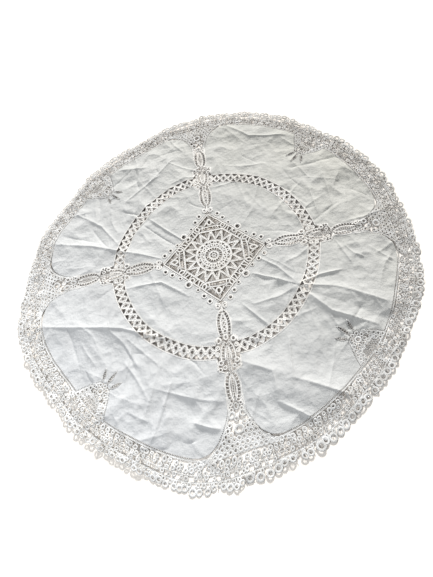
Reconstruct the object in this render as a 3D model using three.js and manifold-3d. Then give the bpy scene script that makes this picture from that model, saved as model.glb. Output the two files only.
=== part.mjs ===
// Round Battenburg (tape-lace) cotton tablecloth, laid out flat, in millimetres.
// +Z is up. The origin is on the underside, in the middle of the cloth, and the four spokes of lace
// run along +X, +Y, -X and -Y. Everything repeats in four quarters.
//
// The whole cloth is one thin sheet with low folds in it. Each piece is the part of that sheet inside
// its own outline, so neighbouring pieces meet at upright walls with a small gap between them.

import * as THREE from 'three';
import { mergeVertices } from 'three/addons/utils/BufferGeometryUtils.js';
import Module from 'manifold-3d';

// ---------- driving dimensions ----------
const RING_R = 223;               // middle of the ring band, the size that everything else follows
const GAP = 0.4;                  // clearance between neighbouring pieces
const LACE_T = 2;                 // thickness of taped and stitched lace
const COTTON_T = 1.2;             // thickness of a hemmed cotton panel

const ROSETTE_R = 0.17 * RING_R;
const STAR_R = 0.333 * RING_R;
const FRAME_IN = STAR_R + GAP;    // half-widths of the square frame, across its flats
const FRAME_OUT = 0.368 * RING_R;
const EDGING_OUT = 0.413 * RING_R;

const RING_IN = 0.925 * RING_R;
const RING_OUT = 1.072 * RING_R;
const SPOKE_HALF = 0.063 * RING_R;
const CROSSING_IN = 0.88 * RING_R;
const CROSSING_OUT = 1.18 * RING_R;
const CROSSING_HALF = 0.1 * RING_R;
const LEAF_OUT = 1.48 * RING_R;
const LEAF_HALF = 0.07 * RING_R;
const MOTIF_TIP = 1.42 * RING_R;
const BORDER_IN = 1.8 * RING_R;
const BORDER_OUT = 1.93 * RING_R;
const EDGE_R = 2.05 * RING_R;     // crest of the outermost loops

const SLOT_HALF = 1.5;            // half the width of an open seam
const ZIGZAGS = 18;               // in one quarter of the ring band
const LOOPS = 15;                 // in one eighth of the outer edge

const SHEET_SPOKES = 40;          // divisions of the sheet around and outwards
const SHEET_RINGS = 11;
const QUARTER = Math.PI / 2;

// Low folds of a cloth that has been stored folded: a straight ridge from one point to the other,
// in ring radii, with its height and half-width in millimetres. The middle of the cloth lies flat.
const FOLDS = [
  { from: [0.77, -0.53], to: [1.55, -0.86], height: 9, width: 22 },
  { from: [0.80, -0.60], to: [1.30, -1.06], height: 7, width: 20 },
  { from: [0.36, -1.42], to: [1.00, -1.62], height: 9, width: 24 },
  { from: [0.10, -1.14], to: [0.52, -1.36], height: 6, width: 20 },
  { from: [-1.80, -0.44], to: [-0.85, -0.66], height: 6, width: 24 },
  { from: [-1.75, 0.52], to: [-0.75, 0.16], height: 6, width: 24 },
  { from: [-1.00, 1.45], to: [-0.45, 1.32], height: 5, width: 22 },
  { from: [-0.95, -1.30], to: [-0.20, -1.66], height: 7, width: 26 },
  { from: [0.35, 1.72], to: [1.05, 1.38], height: 7, width: 24 },
  { from: [1.30, 0.85], to: [1.36, 0.20], height: 5, width: 24 },
];
const FLAT_R = 0.6 * RING_R;      // inside this the cloth lies on the table
const RISE = 0.25 * RING_R;       // over which a fold comes up from the flat middle

// ---------- solids ----------
const wasm = await Module();
wasm.setup();

function toSolid(geometry) {
  const bare = geometry.clone();
  bare.deleteAttribute('normal');
  bare.deleteAttribute('uv');
  const merged = mergeVertices(bare, 1e-4);
  return new wasm.Manifold(new wasm.Mesh({
    numProp: 3,
    vertProperties: new Float32Array(merged.attributes.position.array),
    triVerts: new Uint32Array(merged.index.array),
  }));
}

function toGeometry(solid) {
  const mesh = solid.getMesh();
  const geometry = new THREE.BufferGeometry();
  geometry.setAttribute('position', new THREE.BufferAttribute(mesh.vertProperties, 3));
  geometry.setIndex(new THREE.BufferAttribute(mesh.triVerts, 1));
  geometry.computeVertexNormals();
  return geometry;
}

// ---------- the draped sheet ----------
function foldHeight(x, y, fold) {
  const [ax, ay] = fold.from.map((v) => v * RING_R);
  const [bx, by] = fold.to.map((v) => v * RING_R);
  const length = Math.hypot(bx - ax, by - ay);
  const along = ((x - ax) * (bx - ax) + (y - ay) * (by - ay)) / length;
  const nearest = THREE.MathUtils.clamp(along, 0, length);
  const past = along - nearest;
  const across = ((x - ax) * (by - ay) - (y - ay) * (bx - ax)) / length;
  return fold.height * Math.exp(-((across * across + past * past) / (fold.width * fold.width)));
}

function underside(x, y) {
  const folds = FOLDS.map((fold) => foldHeight(x, y, fold));
  const rise = THREE.MathUtils.smoothstep(Math.hypot(x, y), FLAT_R, FLAT_R + RISE);
  return rise * Math.max(...folds);
}

// The sides of each four-cornered cell run outwards on the underside and inwards on the top, so the top
// is split along the other diagonal. Both faces then fold along the same lines and stay parallel.
function splitTopLikeUnderside(index, rows) {
  for (let spoke = 0; spoke < SHEET_SPOKES; spoke += 1) {
    for (let row = SHEET_RINGS + 1; row < rows - 1; row += 1) {
      const a = spoke * rows + row;
      const b = a + rows;
      index.array.set([a, b, b + 1, a, b + 1, a + 1], 6 * (spoke * (rows - 1) + row));
    }
  }
}

function drapedSheet(thickness) {
  const reach = EDGE_R + 5;
  const profile = [];
  for (let i = 0; i <= SHEET_RINGS; i += 1) {
    profile.push(new THREE.Vector2((reach * i) / SHEET_RINGS, 0));
  }
  for (let i = SHEET_RINGS; i >= 0; i -= 1) {
    profile.push(new THREE.Vector2((reach * i) / SHEET_RINGS, thickness));
  }
  const sheet = new THREE.LatheGeometry(profile, SHEET_SPOKES);
  splitTopLikeUnderside(sheet.index, profile.length);
  sheet.rotateX(QUARTER);
  const position = sheet.attributes.position;
  for (let i = 0; i < position.count; i += 1) {
    const lift = underside(position.getX(i), position.getY(i));
    position.setZ(i, position.getZ(i) + lift);
  }
  return toSolid(sheet);
}

const laceSheet = drapedSheet(LACE_T);
const cottonSheet = drapedSheet(COTTON_T);

// ---------- outlines ----------
function polar(radius, angle) {
  return new THREE.Vector2(radius * Math.cos(angle), radius * Math.sin(angle));
}

// An upright prism through the whole sheet, over an outline turned about the middle of the cloth.
function prism(points, turn) {
  const body = new THREE.ExtrudeGeometry(new THREE.Shape(points), { depth: 60, bevelEnabled: false });
  body.translate(0, 0, -10);
  body.rotateZ(turn);
  return toSolid(body);
}

function without(solid, cuts) {
  return cuts.reduce((rest, cut) => rest.subtract(cut), solid);
}

// A whole outline from its half above the X axis. A point on the axis is used once.
function mirrored(half) {
  const other = half.filter((p) => p.y > 0).map((p) => new THREE.Vector2(p.x, -p.y)).reverse();
  return [...other, ...half];
}

function arc(radius, from, to, steps) {
  return Array.from({ length: steps + 1 }, (_, i) => polar(radius, from + ((to - from) * i) / steps));
}

function disc(x, y, radius, sides, stretch = 1) {
  return arc(radius, 0, 2 * Math.PI, sides).slice(0, sides)
    .map((p) => new THREE.Vector2(x + p.x, y + p.y * stretch));
}

function slot(start, end, y) {
  return [[start, -1], [end, -1], [end, 1], [start, 1]]
    .map(([x, side]) => new THREE.Vector2(x, y + side * SLOT_HALF));
}

function diamond(radius, angle, halfLength, halfWidth) {
  return [
    polar(radius - halfLength, angle),
    polar(radius, angle + halfWidth / radius),
    polar(radius + halfLength, angle),
    polar(radius, angle - halfWidth / radius),
  ];
}

// A point of a straight-sided square ring whose corners lie on the spokes, for one side of it.
function onSide(halfWidth, along) {
  const root = Math.SQRT1_2;
  return new THREE.Vector2((halfWidth - along) * root, (halfWidth + along) * root);
}

// Part of a ring from angle 0 to `span`, with half a gap off each end.
function ringSector(inner, outer, span, steps) {
  const trim = (radius) => Math.asin(GAP / 2 / radius);
  return [
    ...arc(inner, span - trim(inner), trim(inner), steps),
    ...arc(outer, trim(outer), span - trim(outer), steps),
  ];
}

// Outlines of the pieces along a spoke and of the corner motif, on the +X axis, each grown by `more`,
// and by more than that where the sheet that they are cut from ends.
function leafOutline(more) {
  return mirrored([
    new THREE.Vector2(EDGING_OUT * Math.SQRT2 + GAP - more, 0),
    new THREE.Vector2(EDGING_OUT * Math.SQRT2 + GAP - SPOKE_HALF - 2 * more, SPOKE_HALF + more),
    new THREE.Vector2(CROSSING_IN - GAP + more, SPOKE_HALF + more),
  ]);
}

function crossingOutline(more) {
  const middle = RING_R;
  const waist = 0.055 * RING_R;
  return mirrored([
    new THREE.Vector2(CROSSING_IN - more, CROSSING_HALF + more),
    new THREE.Vector2(RING_IN, CROSSING_HALF + more),
    new THREE.Vector2(middle - 0.05 * RING_R, waist + more),
    new THREE.Vector2(middle + 0.05 * RING_R, waist + more),
    new THREE.Vector2(RING_OUT, CROSSING_HALF + more),
    new THREE.Vector2(CROSSING_OUT + more, CROSSING_HALF + more),
  ]);
}

function outerLeafOutline(more) {
  return mirrored([
    new THREE.Vector2(CROSSING_OUT + GAP - more, 0.75 * LEAF_HALF + more),
    new THREE.Vector2(CROSSING_OUT + 0.1 * RING_R, LEAF_HALF + more),
    new THREE.Vector2(LEAF_OUT - 0.08 * RING_R, LEAF_HALF + more),
    new THREE.Vector2(LEAF_OUT + more, 0.85 * LEAF_HALF + more),
  ]);
}

function fanOutline(more) {
  const end = Math.asin((0.27 * RING_R) / BORDER_IN);
  return mirrored([
    new THREE.Vector2(LEAF_OUT + GAP - more, 0.85 * LEAF_HALF + more),
    new THREE.Vector2(1.58 * RING_R, 0.1 * RING_R + more),
    new THREE.Vector2(1.68 * RING_R, 0.15 * RING_R + more),
    new THREE.Vector2(1.75 * RING_R, 0.21 * RING_R + more),
    polar(BORDER_IN - 3, end + more / BORDER_IN),
    polar(BORDER_IN - GAP + 6 * more, end + more / BORDER_IN),
    polar(BORDER_IN - GAP + 6 * more, end / 3),
  ]);
}

function motifOutline(more) {
  const end = Math.asin((0.23 * RING_R) / BORDER_IN);
  return mirrored([
    new THREE.Vector2(MOTIF_TIP - more, 0.02 * RING_R + more),
    new THREE.Vector2(1.475 * RING_R, 0.035 * RING_R + more),
    new THREE.Vector2(1.49 * RING_R, 0.1 * RING_R + more),
    new THREE.Vector2(1.55 * RING_R, 0.08 * RING_R + more),
    new THREE.Vector2(1.66 * RING_R, 0.13 * RING_R + more),
    new THREE.Vector2(1.75 * RING_R, 0.19 * RING_R + more),
    polar(BORDER_IN - 3, end + more / BORDER_IN),
    polar(BORDER_IN - GAP + 6 * more, end + more / BORDER_IN),
    polar(BORDER_IN - GAP + 6 * more, end / 3),
  ]);
}

// ---------- materials ----------
function fabric(color) {
  return new THREE.MeshStandardMaterial({ color, roughness: 0.9, metalness: 0 });
}
const cotton = () => fabric(0xe9eaec);
const tape = () => fabric(0xf1ece2);
const thread = () => fabric(0xf5f1e8);

// ---------- pieces ----------
const cloth = new THREE.Group();

function add(name, solid, material) {
  const piece = new THREE.Mesh(toGeometry(solid), material);
  piece.name = name;
  cloth.add(piece);
}

function addLace(name, outline, holes, turn, material) {
  const holeCuts = holes.map((hole) => prism(hole, turn));
  add(name, without(laceSheet.intersect(prism(outline, turn)), holeCuts), material);
}

// Middle: a rosette, a star lattice of two rows of triangles, and a square frame of tape.
const POINTS = 8;
const petals = Array.from({ length: POINTS }, (_, i) => {
  const centre = polar(0.62 * ROSETTE_R, ((i + 0.5) * 2 * Math.PI) / POINTS);
  return disc(centre.x, centre.y, 0.13 * ROSETTE_R, 5);
});
addLace('medallion_rosette', arc(ROSETTE_R, 0, 2 * Math.PI, 32).slice(0, 32), petals, 0, thread());

const lattice = [];
for (let i = 0; i < POINTS; i += 1) {
  const angle = (i * 2 * Math.PI) / POINTS;
  const step = Math.PI / POINTS;
  lattice.push([
    polar(0.24 * RING_R, angle - 0.3 * step),
    polar(0.305 * RING_R, angle),
    polar(0.24 * RING_R, angle + 0.3 * step),
  ]);
  lattice.push([
    polar(0.2 * RING_R, angle + step),
    polar(0.3 * RING_R, angle + 1.45 * step),
    polar(0.3 * RING_R, angle + 0.55 * step),
  ]);
}
const starWall = arc(STAR_R, 0, 2 * Math.PI, 32).slice(0, 32);
const rosetteHole = arc(ROSETTE_R + GAP, 0, 2 * Math.PI, 32).slice(0, 32);
addLace('medallion_star', starWall, [rosetteHole, ...lattice], 0, tape());

function square(halfWidth) {
  return [0, 1, 2, 3].map((k) => polar(halfWidth * Math.SQRT2, k * QUARTER));
}
const frameTape = 0.028 * RING_R;
const starHole = arc(FRAME_IN, 0, 2 * Math.PI, 32).slice(0, 32);
const cornerReach = 0.58;         // half the angle that a corner opening takes
const cornerCuts = [0, 1, 2, 3].map((k) => prism(mirrored([
  polar(FRAME_IN - 1, cornerReach),
  new THREE.Vector2((FRAME_OUT - frameTape) * Math.SQRT2, 0),
]), k * QUARTER));
const frameBlank = laceSheet.intersect(prism(square(FRAME_OUT), 0));
add('medallion_frame', without(frameBlank, [prism(starHole, 0), ...cornerCuts]), tape());

for (let k = 0; k < 4; k += 1) {
  const turn = k * QUARTER;
  const id = k + 1;

  const cornerApex = (FRAME_OUT - frameTape) * Math.SQRT2 - 2 * GAP;
  addLace(`medallion_corner_eyelet_${id}`, mirrored([
    ...arc(FRAME_IN + GAP, 0.1, cornerReach - 0.12, 3),
    new THREE.Vector2(cornerApex, 0),
  ]), [
    disc(0.385 * RING_R, 0, 0.024 * RING_R, 8, 0.8),
    [
      new THREE.Vector2(0.455 * RING_R, 0),
      new THREE.Vector2(0.42 * RING_R, -0.03 * RING_R),
      new THREE.Vector2(0.42 * RING_R, 0.03 * RING_R),
    ],
  ], turn, thread());

  const sideHalf = FRAME_OUT + GAP;
  const eyelets = [];
  for (let i = -3.5; i <= 3.5; i += 1) {
    const centre = onSide((sideHalf + EDGING_OUT) / 2, (i * 2 * FRAME_OUT) / 9);
    eyelets.push(disc(centre.x, centre.y, 0.015 * RING_R, 4));
  }
  addLace(`medallion_edging_${id}`, [
    onSide(sideHalf, -sideHalf + GAP),
    onSide(EDGING_OUT, -EDGING_OUT + GAP),
    onSide(EDGING_OUT, EDGING_OUT - GAP),
    onSide(sideHalf, sideHalf - GAP),
  ], eyelets, turn, thread());

  // The open seams down both sides of a leaf are slots.
  addLace(`spoke_inner_leaf_${id}`, leafOutline(0), [
    slot(0.66 * RING_R, 0.85 * RING_R, 0.6 * SPOKE_HALF),
    slot(0.66 * RING_R, 0.85 * RING_R, -0.6 * SPOKE_HALF),
  ], turn, tape());

  addLace(`spoke_crossing_${id}`, crossingOutline(0), [
    disc(0.905 * RING_R, 0.07 * RING_R, 0.014 * RING_R, 6),
    disc(0.905 * RING_R, -0.07 * RING_R, 0.014 * RING_R, 6),
    disc(RING_R, 0, 0.035 * RING_R, 8, 0.6),
    disc(1.12 * RING_R, 0.055 * RING_R, 0.014 * RING_R, 6),
    disc(1.12 * RING_R, -0.055 * RING_R, 0.014 * RING_R, 6),
  ], turn, tape());

  const seams = [-0.6, 0, 0.6].map((share) => slot(1.24 * RING_R, 1.43 * RING_R, share * LEAF_HALF));
  addLace(`spoke_outer_leaf_${id}`, outerLeafOutline(0), seams, turn, tape());

  addLace(`border_fan_${id}`, fanOutline(0), [
    disc(1.53 * RING_R, 0.05 * RING_R, 0.014 * RING_R, 6),
    disc(1.53 * RING_R, -0.05 * RING_R, 0.014 * RING_R, 6),
    disc(1.65 * RING_R, 0, 0.03 * RING_R, 8, 0.8),
  ], turn, thread());

  const motifTurn = turn + QUARTER / 2;
  addLace(`corner_motif_${id}`, motifOutline(0), [
    disc(1.64 * RING_R, 0, 0.03 * RING_R, 8),
    disc(1.74 * RING_R, 0.06 * RING_R, 0.02 * RING_R, 6),
    disc(1.74 * RING_R, -0.06 * RING_R, 0.02 * RING_R, 6),
  ], motifTurn, thread());

  // Cotton panels, cut away for the lace beside them.
  const spokeCuts = [turn, turn + QUARTER];
  const panelSide = SPOKE_HALF + GAP;
  const innerStart = EDGING_OUT * Math.SQRT2 + 2 * GAP - panelSide;
  const innerPanel = prism([
    new THREE.Vector2(innerStart, panelSide),
    ...arc(RING_IN - GAP, Math.asin(panelSide / RING_IN), QUARTER - Math.asin(panelSide / RING_IN), 16),
    new THREE.Vector2(panelSide, innerStart),
  ], turn);
  const crossings = spokeCuts.map((angle) => prism(crossingOutline(GAP), angle));
  add(`inner_panel_${id}`, without(cottonSheet.intersect(innerPanel), crossings), cotton());

  const outerPanel = prism(ringSector(RING_OUT + GAP, BORDER_IN - GAP, QUARTER, 16), turn);
  const outerCuts = [
    ...crossings,
    ...spokeCuts.map((angle) => prism(outerLeafOutline(GAP), angle)),
    ...spokeCuts.map((angle) => prism(fanOutline(GAP), angle)),
    prism(motifOutline(GAP), motifTurn),
  ];
  add(`outer_panel_${id}`, without(cottonSheet.intersect(outerPanel), outerCuts), cotton());

  // Ring band: a row of diamonds between its two rails.
  const ringDiamonds = Array.from({ length: ZIGZAGS - 1 }, (_, i) => (
    prism(diamond(RING_R, ((i + 1) * QUARTER) / ZIGZAGS, 0.036 * RING_R, 6), turn)));
  const ringBlank = laceSheet.intersect(prism(ringSector(RING_IN, RING_OUT, QUARTER, 20), turn));
  add(`ring_band_${id}`, without(ringBlank, [...ringDiamonds, ...crossings]), tape());
}

// Border band, and the outermost row of loops with a scallop for each loop, in eighths that end at the
// spokes and at the corner motifs.
const EIGHTH = QUARTER / 2;
const loopPitch = EIGHTH / LOOPS;
const valley = EDGE_R - 0.03 * RING_R;
const loopsIn = BORDER_OUT + GAP;
const endTrim = GAP / 2 / loopsIn;
const scallops = [];
for (let i = 0; i < LOOPS; i += 1) {
  scallops.push(
    polar(valley, Math.max(i * loopPitch, endTrim)),
    polar(EDGE_R, (i + 0.3) * loopPitch),
    polar(EDGE_R, (i + 0.7) * loopPitch),
  );
}
scallops.push(polar(valley, EIGHTH - endTrim));

for (let k = 0; k < 8; k += 1) {
  const turn = k * EIGHTH;
  addLace(`border_band_${k + 1}`, ringSector(BORDER_IN, BORDER_OUT, EIGHTH, 10), [], turn, thread());
  addLace(`edge_loops_${k + 1}`, [...arc(loopsIn, EIGHTH - endTrim, endTrim, 10), ...scallops], [], turn, tape());
}

export default cloth;
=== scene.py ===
# Round tape-lace cotton tablecloth, laid out on a pale floor. Plan positions are in ring radii (the
# middle of the ring band is 1) and heights are in millimetres, until lay() turns them into metres.
import math

import bpy
import numpy as np
from mathutils import Matrix, Vector


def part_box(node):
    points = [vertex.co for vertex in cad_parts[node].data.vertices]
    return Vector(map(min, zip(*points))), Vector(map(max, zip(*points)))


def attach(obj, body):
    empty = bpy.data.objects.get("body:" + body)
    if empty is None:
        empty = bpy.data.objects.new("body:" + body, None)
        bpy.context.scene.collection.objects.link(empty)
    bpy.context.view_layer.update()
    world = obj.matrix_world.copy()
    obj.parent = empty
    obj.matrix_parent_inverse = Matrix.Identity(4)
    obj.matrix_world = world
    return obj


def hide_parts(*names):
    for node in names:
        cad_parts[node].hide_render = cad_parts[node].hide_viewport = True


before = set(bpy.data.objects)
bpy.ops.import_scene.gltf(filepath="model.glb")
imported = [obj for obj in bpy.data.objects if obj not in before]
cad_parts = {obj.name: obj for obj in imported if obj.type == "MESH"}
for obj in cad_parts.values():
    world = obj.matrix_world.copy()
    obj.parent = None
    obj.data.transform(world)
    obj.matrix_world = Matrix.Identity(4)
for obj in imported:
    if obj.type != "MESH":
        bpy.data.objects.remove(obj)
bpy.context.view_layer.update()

RING_EDGE = 1.072       # outer edge of the CAD's ring band, in ring radii
RING_R = (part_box("ring_band_1")[1][0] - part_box("ring_band_3")[0][0]) / 2 / RING_EDGE
MM = 0.001 / RING_R     # a millimetre in ring radii; RING_R is in metres
BOLD = 0.95             # radius of a bar worked over with stitches, mm
SEAM = 0.027            # spacing of the bars of an open seam, in ring radii
STEP = 2.0 * MM         # spacing of sections along a tape
DEEP = 4.0              # how far the tapes of the middle reach down below their edges, mm

# ---------- how the cloth lies ----------
# Broad folds, as in the CAD apart from a lower one at the front left: from, to, height and
# half-width in mm.
FOLDS = [
    ((0.77, -0.53), (1.55, -0.86), 9, 22),
    ((0.80, -0.60), (1.30, -1.06), 7, 20),
    ((0.36, -1.42), (1.00, -1.62), 9, 24),
    ((0.10, -1.14), (0.52, -1.36), 6, 20),
    ((-1.80, -0.44), (-0.85, -0.66), 6, 24),
    ((-1.75, 0.52), (-0.75, 0.16), 6, 24),
    ((-1.00, 1.45), (-0.45, 1.32), 5, 22),
    ((-0.95, -1.30), (-0.20, -1.66), 2.5, 26),
    ((0.35, 1.72), (1.05, 1.38), 7, 24),
    ((1.30, 0.85), (1.36, 0.20), 5, 24),
]
FOLD_SHARE = 0.85       # the folds are lower here, because the cloth is already lifted a little
# Pinched creases along them and between them: a line of points, height in mm, half-width in mm,
# before height() makes them taller and narrower.
CREASE_TALLER = 2.0
CREASE_NARROWER = 0.5
CREASES = [
    ([(-1.80, -0.42), (-1.25, -0.55), (-0.95, -0.62), (-0.50, -0.80)], 3.4, 7),
    ([(-1.75, 0.53), (-1.30, 0.40), (-0.95, 0.25), (-0.55, 0.08)], 3.2, 7),
    ([(-1.50, 0.90), (-1.20, 0.65), (-1.00, 0.35)], 2.4, 7),
    ([(-0.65, 0.62), (-0.30, 0.25)], 2.0, 5),
    ([(-0.72, 0.55), (-0.38, 0.20)], -1.6, 5),
    ([(0.77, -0.52), (0.98, -0.46), (1.20, -0.45)], 3.4, 6),
    ([(0.77, -0.53), (1.10, -0.62), (1.50, -0.85)], 4.0, 7),
    ([(0.80, -0.60), (1.00, -0.85), (1.35, -1.05)], 3.4, 7),
    ([(0.77, -0.53), (0.55, -0.40), (0.35, -0.30)], 2.6, 6),
    ([(0.77, -0.53), (0.60, -0.28), (0.45, -0.15)], 2.0, 6),
    ([(0.77, -0.53), (0.55, -0.60), (0.30, -0.62)], 2.2, 6),
    ([(0.10, -1.12), (0.35, -1.25), (0.35, -1.40)], 3.0, 7),
    ([(0.50, -1.35), (0.95, -1.60)], 3.6, 7),
    ([(0.35, -1.50), (0.60, -1.70)], 2.6, 7),
    ([(0.55, -1.00), (0.50, -1.40)], 2.4, 7),
    ([(-0.35, -1.50), (-0.15, -1.60)], 2.4, 6),
    ([(-0.50, -1.15), (-0.70, -1.60)], 2.0, 5),
    ([(-0.70, -1.20), (-0.10, -1.40)], 2.0, 12),
    ([(0.35, 1.75), (0.60, 1.50), (1.00, 1.40)], 3.0, 7),
    ([(-1.00, 1.45), (-0.65, 1.38)], 2.6, 7),
    ([(-0.65, 1.10), (-0.30, 1.40)], 2.4, 6),
    ([(-0.65, 1.10), (-0.50, 1.20)], 2.4, 6),
    ([(-0.65, 1.10), (-0.90, 0.95)], 2.4, 6),
    ([(-0.95, 0.80), (-0.75, 0.70)], -2.4, 8),
    ([(1.30, 0.75), (1.30, 0.30)], 2.2, 6),
    ([(1.10, 0.60), (1.12, 0.25)], 2.0, 6),
    ([(1.20, -0.10), (1.30, -0.40)], 2.2, 6),
    ([(0.20, -0.60), (0.40, -0.85)], 2.2, 6),
    ([(-0.90, -0.20), (-0.55, -0.20), (-0.30, -0.40)], 2.2, 6),
]
# Small creases scattered over the cloth, from 1.2 to 3.6 mm high, about one in three of them
# a groove.
scatter = np.random.RandomState(5)
SMALL_CREASES = []
for _ in range(190):
    middle = scatter.uniform(-1.75, 1.75, 2)
    heading = scatter.uniform(0, math.pi)
    along = scatter.uniform(0.06, 0.26) * np.array([math.cos(heading), math.sin(heading)])
    kink = scatter.uniform(-0.03, 0.03, 2)
    top = scatter.uniform(1.2, 3.6) * scatter.choice([1, 1, -1])
    line = [middle - along, middle + kink, middle + along]
    SMALL_CREASES.append((line, top, scatter.uniform(2.4, 5.0)))
# The outline is pulled a little out of round: share of a ring radius, waves round, and where it
# peaks, in degrees.
WARPS = [(0.054, 1, -168.8), (0.055, 2, 60.6), (0.022, 4, -3.9)]
OUTER = 2.03            # where the outer edge is, in ring radii
# Short bulges and dents of the outer edge: where and half-width in degrees, share of a ring radius.
BULGES = [
    (-167, 11, 0.095), (-142, 9, -0.03), (-122, 14, -0.11), (-100, 8, 0.17), (-80, 6, -0.06),
    (-69, 6, 0.045), (-55, 8, -0.04), (-24, 13, 0.055), (3, 9, -0.11), (35, 14, 0.06),
    (60, 10, 0.03), (80, 7, 0.035), (93, 7, -0.11), (165, 8, 0.03),
]
# Heights of the drape, in mm.
LOWEST = 0.3            # nothing goes below this
MIDDLE_LIFT = 5.4       # how high the middle of the cloth lies
HIGHEST = 17.5          # the tallest creases flatten out towards this
CLEAR = 0.35            # low places level out above this,
SHARP = 2.5             # with a bend of this sharpness


def smooth(x, low, high):
    t = np.clip((x - low) / (high - low), 0, 1)
    return t * t * (3 - 2 * t)


def noise(x, y, seed):
    """Smooth noise from -1 to 1 over a repeating lattice of random values."""
    table = np.random.RandomState(seed).uniform(-1, 1, (64, 64))
    ix = np.floor(x).astype(int)
    iy = np.floor(y).astype(int)
    fx = smooth(x - ix, 0, 1)
    fy = smooth(y - iy, 0, 1)
    low = table[ix % 64, iy % 64] * (1 - fx) + table[(ix + 1) % 64, iy % 64] * fx
    high = table[ix % 64, (iy + 1) % 64] * (1 - fx) + table[(ix + 1) % 64, (iy + 1) % 64] * fx
    return low * (1 - fy) + high * fy


def to_line(x, y, a, b):
    """Distance from a straight piece from a to b, and how far along it, from 0 to 1."""
    dx = b[0] - a[0]
    dy = b[1] - a[1]
    along = np.clip(((x - a[0]) * dx + (y - a[1]) * dy) / (dx * dx + dy * dy), 0, 1)
    return np.hypot(x - a[0] - along * dx, y - a[1] - along * dy), along


def crease(x, y, points, height, width):
    """Height that a pinched ridge, or a groove, adds at each point, in mm."""
    reach = 7 * width * MM
    low = np.min(points, 0) - reach
    high = np.max(points, 0) + reach
    near = (x > low[0]) & (x < high[0]) & (y > low[1]) & (y < high[1])
    out = np.zeros(x.shape)
    if near.any():
        out[near] = ridge_height(x[near], y[near], points, height, width)
    return out


def ridge_height(x, y, points, height, width):
    best = np.full(x.shape, 1e9)
    where = np.zeros(x.shape)
    pieces = len(points) - 1
    for i in range(pieces):
        apart, along = to_line(x, y, points[i], points[i + 1])
        nearer = apart < best
        best = np.where(nearer, apart, best)
        where = np.where(nearer, (i + along) / pieces, where)
    fade = 1 - 0.6 * np.abs(2 * where - 1) ** 3
    return height * fade * np.exp(-best / (width * MM))


def height(x, y):
    """Height of the underside of the cloth above the floor, in mm."""
    r = np.hypot(x, y)
    around = np.arctan2(y, x)
    edge = LOWEST + 4.8 * smooth(np.cos(around - math.radians(100)), 0.0, 0.9)
    lift = edge + (MIDDLE_LIFT - edge) * (1 - smooth(r, 1.05, 1.85))
    folds = np.zeros(x.shape)
    for a, b, top, width in FOLDS:
        apart = to_line(x, y, a, b)[0]
        folds = np.maximum(folds, top * np.exp(-((apart / (width * MM)) ** 2)))
    calm = 0.3 + 0.7 * smooth(r, 0.4, 0.75)
    out = lift + FOLD_SHARE * folds
    for points, top, width in CREASES:
        out = out + crease(x, y, points, CREASE_TALLER * top, CREASE_NARROWER * width)
    for points, top, width in SMALL_CREASES:
        out = out + calm * crease(x, y, points, top, width)
    out = out + calm * 2.6 * (1 - 2 * np.abs(noise(x * 2.1 + 7, y * 2.1 + 3, 11)))
    turned = (x + 0.7 * y, y - 0.7 * x)
    out = out + calm * 2.0 * (1 - 2 * np.abs(noise(turned[0] * 4.3, turned[1] * 4.3, 12)))
    out = out + calm * 1.1 * (1 - 2 * np.abs(noise(x * 9, y * 8, 13)))
    out = out + 0.16 * noise(x * 21, y * 21, 14)
    capped = HIGHEST * np.tanh(out / HIGHEST)
    return CLEAR + np.logaddexp(0, SHARP * (capped - CLEAR)) / SHARP


def lay(points):
    """Plan points with a height above the drape become points in space, in metres."""
    x = points[:, 0]
    y = points[:, 1]
    r = np.hypot(x, y)
    around = np.degrees(np.arctan2(y, x))
    pull = np.zeros(len(points))
    for size, waves, peak in WARPS:
        pull += size * np.cos(np.radians(waves * (around - peak)))
    for peak, spread_by, size in BULGES:
        apart = (around - peak + 180) % 360 - 180
        pull += size / OUTER * (r / OUTER) ** 4 * np.exp(-((apart / spread_by) ** 2))
    wobble = 0.012 * smooth(r, 0.5, 1.0) * noise(x * 3 + 5, y * 3 + 9, 21)
    grow = 1 + pull * (r / OUTER) ** 2 / np.maximum(r, 1e-6) + wobble
    z = np.maximum(height(x, y) + points[:, 2], LOWEST)
    return np.stack([x * grow * RING_R, y * grow * RING_R, z * 0.001], 1)


# ---------- plan geometry ----------
def polar(r, angle):
    a = math.radians(angle)
    return np.array([r * math.cos(a), r * math.sin(a)])


def arc(r, start, end):
    count = max(3, int(math.radians(end - start) * r / STEP) + 1)
    a = np.radians(np.linspace(start, end, count))
    return np.stack([r * np.cos(a), r * np.sin(a)], 1)


def resampled(path, step=STEP, count=None):
    path = np.asarray(path, float)
    run = np.concatenate([[0], np.cumsum(np.linalg.norm(np.diff(path, axis=0), axis=1))])
    count = count or max(2, int(run[-1] / step) + 1)
    s = np.linspace(0, run[-1], count)
    return np.stack([np.interp(s, run, path[:, 0]), np.interp(s, run, path[:, 1])], 1)


def bend(points, step=STEP):
    """A smooth line through the points (Catmull-Rom), evenly spaced."""
    p = np.asarray(points, float)
    p = np.concatenate([[2 * p[0] - p[1]], p, [2 * p[-1] - p[-2]]])
    t = np.linspace(0, 1, 12)[:-1, None]
    out = []
    for a, b, c, d in zip(p[:-3], p[1:-2], p[2:-1], p[3:]):
        square = 2 * a - 5 * b + 4 * c - d
        cube = 3 * b - a - 3 * c + d
        out.append(0.5 * (2 * b + (c - a) * t + square * t**2 + cube * t**3))
    return resampled(np.concatenate(out + [p[-2:-1]]), step)


def flip(path):
    return np.asarray(path, float) * [1, -1]


def offset(path, by):
    path = np.asarray(path, float)
    along = np.gradient(path, axis=0)
    along /= np.linalg.norm(along, axis=1)[:, None] + 1e-12
    return path + by * np.stack([-along[:, 1], along[:, 0]], 1)


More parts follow.
